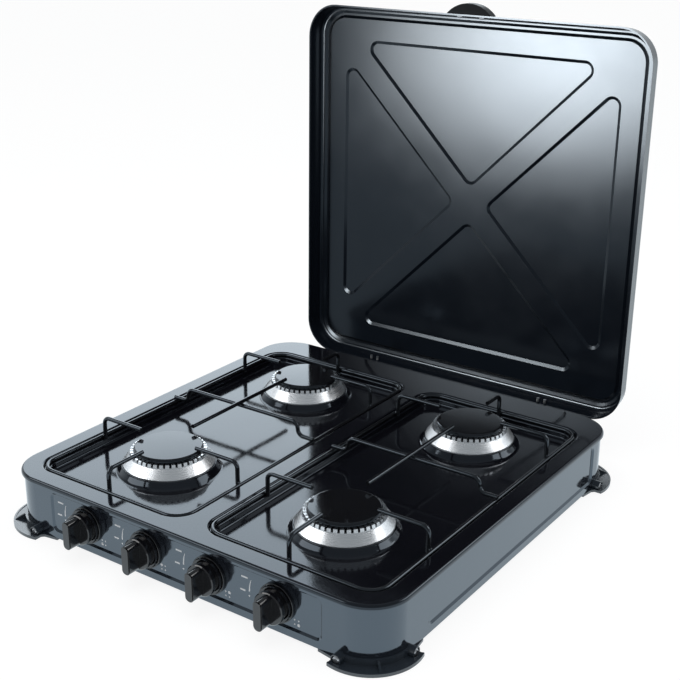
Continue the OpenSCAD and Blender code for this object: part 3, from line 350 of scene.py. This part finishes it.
# Each metal has a dark and a bright tone, and its lowest and highest roughness.
metals = {
    "gas_brass": ((0.55, 0.38, 0.16, 1), (0.75, 0.56, 0.28, 1), 0.2, 0.4),
    "pipe_steel": ((0.42, 0.43, 0.44, 1), (0.6, 0.61, 0.62, 1), 0.25, 0.45),
    "fastener_steel": ((0.4, 0.4, 0.41, 1), (0.6, 0.6, 0.61, 1), 0.2, 0.4),
}
finishes.update({name: plastic(name, *values) for name, values in plastics.items()})
finishes.update({name: metal(name, *values) for name, values in metals.items()})
print("plastics and metals:", sorted(plastics), sorted(metals))

# %% Turned aluminium
turned, tree, shader, where = start_finish("burner_aluminium")
along = add_node(tree, "ShaderNodeAttribute", attribute_name="lathe").outputs["Fac"]
rings = add_node(tree, "ShaderNodeTexNoise", {
    "W": along, "Scale": 1800.0, "Detail": 3.0}, noise_dimensions="1D")
cloud = add_node(tree, "ShaderNodeTexNoise", {"Vector": where, "Scale": 40.0, "Detail": 4.0})
tone = blend(tree, cloud.outputs[0], (0.74, 0.76, 0.78, 1), (0.88, 0.89, 0.91, 1))
gloss = add_node(tree, "ShaderNodeMapRange", {"Value": rings.outputs[0], "To Min": 0.2, "To Max": 0.34})
cut = add_node(tree, "ShaderNodeBump", {"Height": rings.outputs[0], "Strength": 0.06, "Distance": 0.0003})
tree.links.new(tone, shader.inputs["Base Color"])
tree.links.new(gloss.outputs[0], shader.inputs["Roughness"])
tree.links.new(cut.outputs[0], shader.inputs["Normal"])
shader.inputs["Metallic"].default_value = 1.0
shader.inputs["Anisotropic"].default_value = 0.75
round_axis = add_node(tree, "ShaderNodeTangent", direction_type="RADIAL", axis="Z")
tree.links.new(round_axis.outputs[0], shader.inputs["Tangent"])
finishes["burner_aluminium"] = turned
print("crowns:", turned.name)

# %% White ink
ink, tree, shader, where = start_finish("print_white")
fade = add_node(tree, "ShaderNodeTexNoise", {"Vector": where, "Scale": 900.0, "Detail": 3.0})
tone = blend(tree, fade.outputs[0], (0.6, 0.62, 0.64, 1), (0.85, 0.86, 0.87, 1))
tree.links.new(tone, shader.inputs["Base Color"])
shader.inputs["Roughness"].default_value = 0.5
finishes["print_white"] = ink
print("finishes:", sorted(finishes))

# %% [markdown]
# ## Smooth copies of the solids
# The solids come as loose triangles, which glossy enamel would show as facets. A merged copy with
# its flat triangles dissolved, a fine bevel on its edges and normals that favour the large
# faces mirrors like pressed sheet. The copy then stands for the solid.

# %% Smooth copies
def dress(name, body, mesh, finish, slot, *stands_for):
    piece = bpy.data.objects.new(name, mesh)
    bpy.context.scene.collection.objects.link(piece)
    mesh.materials.clear()
    mesh.materials.append(finish)
    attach(piece, body)
    if stands_for:
        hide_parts(*stands_for)
    return piece


usual_edge, knob_edge, edge_steps, same_spot = 0.0004, 0.001, 2, 2e-6
flat, sharp_bend, lid_bend, crease = (math.radians(angle) for angle in (0.6, 28, 14, 35))


def smooth_copy(node, edge=usual_edge, sharp=sharp_bend):
    work = bmesh.new()
    work.from_mesh(frame["nodes"][node].data)
    bmesh.ops.remove_doubles(work, verts=work.verts, dist=same_spot)
    bmesh.ops.dissolve_limit(work, angle_limit=flat, verts=work.verts, edges=work.edges)
    mesh = bpy.data.meshes.new(node + "_skin")
    work.to_mesh(mesh)
    work.free()
    holder = bpy.data.objects.new(node + "_work", mesh)
    bpy.context.scene.collection.objects.link(holder)
    if edge:
        bevel = holder.modifiers.new("edge", "BEVEL")
        bevel.width = edge
        bevel.segments = edge_steps
        bevel.limit_method = "ANGLE"
        bevel.angle_limit = sharp
        bevel.use_clamp_overlap = True
        bevel.harden_normals = False
    mesh.shade_smooth()
    mesh.set_sharp_from_angle(angle=crease)
    level = holder.modifiers.new("level", "WEIGHTED_NORMAL")
    level.keep_sharp = True
    level.weight = 100
    bpy.context.view_layer.update()
    seen = holder.evaluated_get(bpy.context.evaluated_depsgraph_get())
    result = bpy.data.meshes.new_from_object(seen)
    bpy.data.objects.remove(holder)
    result.name = node + "_skin"
    return result


print("usual edge:", usual_edge)

# %% Copies of the plain pieces
knob_nodes = ["knob_%d" % k for k in (1, 2, 3, 4)]
cap_nodes = ["burner_cap_%d" % k for k in (1, 2, 3, 4)]
foot_nodes = ["foot_front_left", "foot_front_right", "foot_back_left", "foot_back_right"]
plain_nodes = ["cooktop", "side_casing", "lid", "lid_handle", "knob_bezels"]
plain_nodes += foot_nodes + knob_nodes + cap_nodes
edge_of = {"cooktop": 0.0, "side_casing": 0.0006, "lid": 0.0008}
edge_of.update({node: knob_edge for node in knob_nodes})
for node in plain_nodes:
    skin = smooth_copy(node, edge_of.get(node, usual_edge), lid_bend if node == "lid" else sharp_bend)
    dress("skin_" + node, body_of[node], skin, finishes[slot_of[node]], slot_of[node], node)
print("smooth copies:", len(plain_nodes))

# %% [markdown]
# ## The glow belongs to the lid
# In the photograph only the lid faces the glow. Tying the box to the lid keeps it off the panel and
# the crowns, which would otherwise burn out.

# %% Tie the glow to the lid
def light_only(box, names):
    lit = bpy.data.collections.new("lit_by_" + box.name)
    for name in names:
        lit.objects.link(bpy.data.objects[name])
    box.light_linking.receiver_collection = lit


light_only(lid_glow, ["skin_lid"])

# %% [markdown]
# ## Welded wire pan supports
# Each support is bent from round rod: a closed ring, fingers that rise from it and bend in over the
# burner, and two rods that cross in the middle. They all follow paths, so the paths are drawn as bare
# edges, and one node tree rounds each bend, sweeps the rod along them and puts a bead on every weld.

# %% Node tools
def node_tool(name, inputs):
    tree = bpy.data.node_groups.new(name, "GeometryNodeTree")
    tree.interface.new_socket("Geometry", in_out="INPUT", socket_type="NodeSocketGeometry")
    for label, kind in inputs:
        tree.interface.new_socket(label, in_out="INPUT", socket_type="NodeSocket" + kind)
    tree.interface.new_socket("Geometry", in_out="OUTPUT", socket_type="NodeSocketGeometry")
    return tree, tree.nodes.new("NodeGroupInput").outputs, tree.nodes.new("NodeGroupOutput").inputs


def named_value(tree, label):
    value = add_node(tree, "GeometryNodeInputNamedAttribute", {"Name": label}, data_type="FLOAT")
    return value.outputs["Attribute"]


def is_over(tree, value, limit):
    test = add_node(tree, "FunctionNodeCompare", {"A": value, "B": limit},
                    data_type="FLOAT", operation="GREATER_THAN")
    return test.outputs[0]


def end_tool(tree, shapes, finish, outs):
    joined = tree.nodes.new("GeometryNodeJoinGeometry")
    for shape in shapes:
        tree.links.new(shape, joined.inputs[0])
    plain = add_node(tree, "GeometryNodeRealizeInstances", {"Geometry": joined.outputs[0]})
    painted = add_node(tree, "GeometryNodeSetMaterial", {"Geometry": plain.outputs[0], "Material": finish})
    tree.links.new(painted.outputs[0], outs["Geometry"])


tool_crease = math.radians(38)


def run_tool(name, tree, mesh, values):
    holder = bpy.data.objects.new(name + "_work", mesh)
    bpy.context.scene.collection.objects.link(holder)
    tool = holder.modifiers.new("tool", "NODES")
    tool.node_group = tree
    for label, value in values.items():
        tool[tree.interface.items_tree[label].identifier] = value
    bpy.context.view_layer.update()
    made = bpy.data.meshes.new_from_object(holder.evaluated_get(bpy.context.evaluated_depsgraph_get()))
    bpy.data.objects.remove(holder)
    made.name = name
    made.shade_smooth()
    made.set_sharp_from_angle(angle=tool_crease)
    return made


def point_values(mesh, label, values):
    mesh.attributes.new(label, "FLOAT", "POINT").data.foreach_set("value", values)


print("a made edge stays sharp from", round(math.degrees(tool_crease)), "degrees")

# %% Rod tool
rod_tool, ins, outs = node_tool("bent_rods", [
    ("Rod Radius", "Float"), ("Sides", "Int"), ("Bend Steps", "Int"), ("Finish", "Material")])
paths = add_node(rod_tool, "GeometryNodeMeshToCurve", {"Mesh": ins["Geometry"]})
bend = named_value(rod_tool, "bend")
bent = add_node(rod_tool, "GeometryNodeFilletCurve", {
    "Curve": paths.outputs[0], "Count": ins["Bend Steps"], "Radius": bend}, mode="POLY")
section = add_node(rod_tool, "GeometryNodeCurvePrimitiveCircle", {
    "Resolution": ins["Sides"], "Radius": ins["Rod Radius"]})
rods = add_node(rod_tool, "GeometryNodeCurveToMesh", {
    "Curve": bent.outputs[0], "Profile Curve": section.outputs[0], "Fill Caps": True})
weld = named_value(rod_tool, "weld")
weld_points = add_node(rod_tool, "GeometryNodeMeshToPoints", {
    "Mesh": ins["Geometry"], "Selection": is_over(rod_tool, weld, 0.0)})
bead = add_node(rod_tool, "GeometryNodeMeshIcoSphere", {"Radius": 1.0, "Subdivisions": 3})
beads = add_node(rod_tool, "GeometryNodeInstanceOnPoints", {
    "Points": weld_points.outputs[0], "Instance": bead.outputs[0], "Scale": weld})
end_tool(rod_tool, [rods.outputs[0], beads.outputs[0]], ins["Finish"], outs)
print("nodes in the rod tool:", len(rod_tool.nodes))

# %% Paths of the rods
burner_x, burner_y = 0.1225, 0.130
ring_half, ring_front, ring_back, ring_z = 0.106, -0.229, 0.208, 0.0665
finger_z, cross_z, foot_z, tip = 0.092, 0.0874, 0.0711, 0.0418
rod_r, weld_step, bead_r, bead_lift = 0.0025, 0.0046, 0.0023, 0.0008
ring_bend, finger_bend, cross_bend, cross_foot = 0.022, 0.008, 0.0081, 0.012


def support_paths(side):
    points, edges, bends, welds = [], [], [], []

    def path(spots, bend, closed=False):
        first = len(points)
        points.extend((side * burner_x + x, y, z) for x, y, z in spots)
        bends.extend([bend] * len(spots))
        welds.extend([0.0] * len(spots))
        edges.extend((first + i, first + i + 1) for i in range(len(spots) - 1))
        if closed:
            edges.append((first + len(spots) - 1, first))

    def bead(spot):
        points.append((side * burner_x + spot[0], spot[1], spot[2]))
        bends.append(0.0)
        welds.append(bead_r)

    corners = [(-ring_half, ring_front), (ring_half, ring_front),
               (ring_half, ring_back), (-ring_half, ring_back)]
    path([(x, y, ring_z) for x, y in corners], ring_bend, closed=True)
    for y in (-burner_y, burner_y):
        reach = (ring_back if y > 0 else -ring_front) - weld_step - burner_y
        sideways = ring_half - weld_step
        fingers = [((1, 0), sideways), ((-1, 0), sideways), ((0, 1 if y > 0 else -1), reach)]
        for (fx, fy), leg in fingers:
            bent_up = ((leg, ring_z - rod_r), (leg, finger_z), (tip, finger_z))
            path([(fx * r, y + fy * r, z) for r, z in bent_up], finger_bend)
            joint = leg + weld_step / 2
            bead((fx * joint, y + fy * joint, ring_z + bead_lift))
    rise = ring_half - cross_foot - (cross_z - foot_z) / 2
    path([(-ring_half - rod_r, 0, foot_z), (-rise, 0, foot_z), (-rise, 0, cross_z),
          (rise, 0, cross_z), (rise, 0, foot_z), (ring_half + rod_r, 0, foot_z)], cross_bend)
    path([(0, tip - burner_y, finger_z), (0, burner_y - tip, finger_z)], 0.0)
    for x, z in ((-ring_half, ring_z), (ring_half, ring_z), (0, cross_z)):
        bead((x, 0, z + weld_step / 2))
    mesh = bpy.data.meshes.new("support_paths")
    mesh.from_pydata(points, edges, [])
    point_values(mesh, "bend", bends)
    point_values(mesh, "weld", welds)
    return mesh


print("rods of", 2 * rod_r, "m, fingers at", finger_z)

# %% Pan supports
for node, side in (("grate_left", -1), ("grate_right", 1)):
    rods = run_tool(node + "_rods", rod_tool, support_paths(side),
                    {"Rod Radius": rod_r, "Sides": 20, "Bend Steps": 8, "Finish": finishes["wire_enamel"]})
    dress("rods_" + node, body_of[node], rods, finishes["wire_enamel"], "wire_enamel", node)
    print(node, "faces:", len(rods.polygons))

# %% [markdown]
# ## Burner crowns
# A crown is a turned aluminium ring with forty flame slots cut in its top. The ring is a profile spun
# round the burner's axis, and a node tree repeats one tooth round it. Each point of the profile
# keeps its distance along it, which the finish uses for the fine rings that the lathe leaves.

# %% Crown tool
crown_tool, ins, outs = node_tool("toothed_ring", [("Teeth", "Int"), ("Finish", "Material")])
parts = add_node(crown_tool, "GeometryNodeSeparateGeometry", {
    "Geometry": ins["Geometry"], "Selection": named_value(crown_tool, "tooth")}, domain="POINT")
spots = add_node(crown_tool, "GeometryNodePoints", {"Count": ins["Teeth"]})
step = add_node(crown_tool, "ShaderNodeMath", {0: 2 * math.pi, 1: ins["Teeth"]}, operation="DIVIDE")
number = add_node(crown_tool, "GeometryNodeInputIndex")
angle = add_node(crown_tool, "ShaderNodeMath", {
    0: number.outputs[0], 1: step.outputs[0]}, operation="MULTIPLY")
about_z = add_node(crown_tool, "ShaderNodeCombineXYZ", {"Z": angle.outputs[0]})
teeth = add_node(crown_tool, "GeometryNodeInstanceOnPoints", {
    "Points": spots.outputs[0], "Instance": parts.outputs["Selection"], "Rotation": about_z.outputs[0]})
end_tool(crown_tool, [parts.outputs["Inverted"], teeth.outputs[0]], ins["Finish"], outs)
print("nodes in the crown tool:", len(crown_tool.nodes))

# %% Crown shape
crown_profile = [(0.0490, 0.0640), (0.0530, 0.0640), (0.0530, 0.0657), (0.0527, 0.0661),
                 (0.0452, 0.0757), (0.0449, 0.0761), (0.04475, 0.0766), (0.0361, 0.0766),
                 (0.0360, 0.0760), (0.0306, 0.0760), (0.0306, 0.0670)]
tooth_profile = [(0.0361, 0.0764), (0.0361, 0.0800), (0.04365, 0.0800), (0.0448, 0.0764)]
turns, slots, slot_half = 160, 40, 0.0013


def turn_ring(work, lathe):
    run, rows = 0.0, []
    for i, (r, z) in enumerate(crown_profile):
        run += math.dist(crown_profile[i - 1], (r, z)) if i else 0.0
        row = []
        for j in range(turns):
            a = 2 * math.pi * j / turns
            v = work.verts.new((r * math.cos(a), r * math.sin(a), z))
            v[lathe] = run
            row.append(v)
        rows.append(row)
    for low, high in zip(rows, rows[1:]):
        for j in range(turns):
            k = (j + 1) % turns
            work.faces.new((low[j], low[k], high[k], high[j]))


def add_tooth(work, lathe, tooth):
    half = math.pi / slots
    ends = {-1: [], 1: []}
    for r, z in tooth_profile:
        wide = r * math.sin(half) - slot_half
        for side, end in ends.items():
            v = work.verts.new((r * math.cos(half), side * wide, z))
            v[tooth] = 1.0
            v[lathe] = r
            end.append(v)
    low, high = ends[-1], ends[1]
    work.faces.new(low)
    work.faces.new(high[::-1])
    for i in range(len(tooth_profile)):
        k = (i + 1) % len(tooth_profile)
        work.faces.new((low[i], high[i], high[k], low[k]))


def crown_start():
    work = bmesh.new()
    lathe = work.verts.layers.float.new("lathe")
    tooth = work.verts.layers.float.new("tooth")
    turn_ring(work, lathe)
    add_tooth(work, lathe, tooth)
    bmesh.ops.recalc_face_normals(work, faces=work.faces)
    mesh = bpy.data.meshes.new("crown_start")
    work.to_mesh(mesh)
    work.free()
    return mesh


print("slots in a crown:", slots)

# %% Crowns on their burners
burner_signs = [(-1, -1), (-1, 1), (1, 1), (1, -1)]
for k, (sx, sy) in enumerate(burner_signs, 1):
    crown = run_tool("crown_%d_turned" % k, crown_tool, crown_start(),
                     {"Teeth": slots, "Finish": finishes["burner_aluminium"]})
    place = Matrix.Translation((sx * burner_x, sy * burner_y, 0))
    crown.transform(place @ Matrix.Rotation(math.pi / slots, 4, "Z"))
    node = "burner_crown_%d" % k
    dress("crown_%d" % k, body_of[node], crown, finishes["burner_aluminium"], "burner_aluminium", node)
print("crown faces:", len(crown.polygons))

# %% [markdown]
# ## The streaks belong to metal and edges
# The two side boxes are there for the crowns, and for the pieces whose rods and rounded edges catch a
# thin bright line. Tying them to these pieces keeps them off the casing and the lid.

# %% Tie the streaks
streaked = ["crown_%d" % k for k in (1, 2, 3, 4)] + ["rods_grate_left", "rods_grate_right", "skin_cooktop"]
streaked += ["skin_" + node for node in knob_nodes]
for streak in streaks:
    light_only(streak, streaked)

# %% [markdown]
# ## Print round the knobs
# White marks on the panel tell the flame's size: two dashes, a wedge that grows towards the large flame
# and a dot. A square of four dots says which burner a knob feeds. One set is drawn once and a
# node tree prints it at each knob.

# %% Print tool
print_tool, ins, outs = node_tool("panel_print", [("Dot Sides", "Int"), ("Finish", "Material")])
is_knob = is_over(print_tool, named_value(print_tool, "knob"), 0.5)
dot_size = named_value(print_tool, "dot")
is_dot = is_over(print_tool, dot_size, 0.0)
knob_spots = add_node(print_tool, "GeometryNodeMeshToPoints", {
    "Mesh": ins["Geometry"], "Selection": is_knob})
dot_spots = add_node(print_tool, "GeometryNodeMeshToPoints", {
    "Mesh": ins["Geometry"], "Selection": is_dot})
drawn = add_node(print_tool, "GeometryNodeSeparateGeometry", {
    "Geometry": ins["Geometry"], "Selection": named_value(print_tool, "drawn")}, domain="POINT")
marks = add_node(print_tool, "GeometryNodeInstanceOnPoints", {
    "Points": knob_spots.outputs[0], "Instance": drawn.outputs["Selection"]})
disc = add_node(print_tool, "GeometryNodeMeshCircle", {
    "Vertices": ins["Dot Sides"], "Radius": 1.0}, fill_type="NGON")
dots = add_node(print_tool, "GeometryNodeInstanceOnPoints", {
    "Points": dot_spots.outputs[0], "Instance": disc.outputs[0],
    "Rotation": (math.pi / 2, 0, 0), "Scale": dot_size})
end_tool(print_tool, [marks.outputs[0], dots.outputs[0]], ins["Finish"], outs)
print("nodes in the print tool:", len(print_tool.nodes))

# %% Marks of one knob
knob_xs, knob_z, panel_y = (-0.1296, -0.0432, 0.0432, 0.1296), 0.035, -0.25256
points, faces, kinds, sizes = [], [], [], []

# The marks are in millimetres from the knob's axis, as seen from the front.
per_metre = 1000
upper_dash, lower_dash, dash_thick = (-41, 13.3, 8), (-43.5, -1.8, 6.6), 1.8
wedge_r, wedge_steps, wedge_from, wedge_turn = 35, 12, 159, 23
wedge_thin, wedge_growth = 0.25, 0.65
small_dot, small_dot_r = (-35.3, -6.1), 1.0
feed_x, feed_z, feed_step, fed_r, other_r = 23, -14.5, 2.4, 1.7, 0.9


def mark(outline):
    first = len(points)
    points.extend((x / per_metre, 0.0, z / per_metre) for x, z in outline)
    kinds.extend(["drawn"] * len(outline))
    faces.append(list(range(first, first + len(outline))))


for x, z, width in (upper_dash, lower_dash):
    w, h = width / 2, dash_thick / 2
    mark([(x - w, z - h), (x + w, z - h), (x + w, z + h), (x - w, z + h)])
stations = range(wedge_steps + 1)
angles = [math.radians(wedge_from + wedge_turn * i / wedge_steps) for i in stations]
halves = [wedge_thin + wedge_growth * i / wedge_steps for i in stations]
inner = [((wedge_r - w) * math.cos(a), (wedge_r - w) * math.sin(a)) for a, w in zip(angles, halves)]
outer = [((wedge_r + w) * math.cos(a), (wedge_r + w) * math.sin(a)) for a, w in zip(angles, halves)]
mark(inner[::-1] + outer)
print("marks drawn:", len(faces))

# %% Print at every knob
for x, fed in zip(knob_xs, burner_signs):
    points.append((x, panel_y, knob_z))
    kinds.append("knob")
    spots = [(small_dot, small_dot_r)]
    for i, j in burner_signs:
        spot = (feed_x + feed_step * i, feed_z + feed_step * j)
        spots.append((spot, fed_r if (i, j) == fed else other_r))
    for (dx, dz), size in spots:
        points.append((x + dx / per_metre, panel_y, knob_z + dz / per_metre))
        kinds.append("dot")
        sizes.append(size / per_metre)
sheet = bpy.data.meshes.new("print_start")
sheet.from_pydata(points, [], faces)
dot_sizes = iter(sizes)
point_values(sheet, "dot", [next(dot_sizes) if kind == "dot" else 0.0 for kind in kinds])
for label in ("knob", "drawn"):
    point_values(sheet, label, [1.0 if kind == label else 0.0 for kind in kinds])
printed = run_tool("panel_print", print_tool, sheet, {"Dot Sides": 24, "Finish": finishes["print_white"]})
dress("knob_print", "hob", printed, finishes["print_white"], "casing_enamel")
print("print faces:", len(printed.polygons))

# %% [markdown]
# ## Springs
# A pressed knob pushes its spring together. Each spring here only gets a smooth copy without a bevel,
# and a mesh of its own.

# %% Springs
for k, x in enumerate(knob_xs, 1):
    node = "tap_spring_%d" % k
    spring = dress("spring_%d" % k, body_of[node], smooth_copy(node, 0.0),
                   finishes[slot_of[node]], slot_of[node], node)
    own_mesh(spring)
print("springs:", len(knob_xs))

# %% [markdown]
# ## The solids that stay
# Taps, pipes, screws and hinges look right as they are, so each only gets the finish of its slot.

# %% Finishes of the solids that stay
stay = [node for node, solid in frame["nodes"].items() if not solid.hide_render]
for node in stay:
    materials = frame["nodes"][node].data.materials
    materials.clear()
    materials.append(finishes[slot_of[node]])
print("solids that stay:", len(stay))
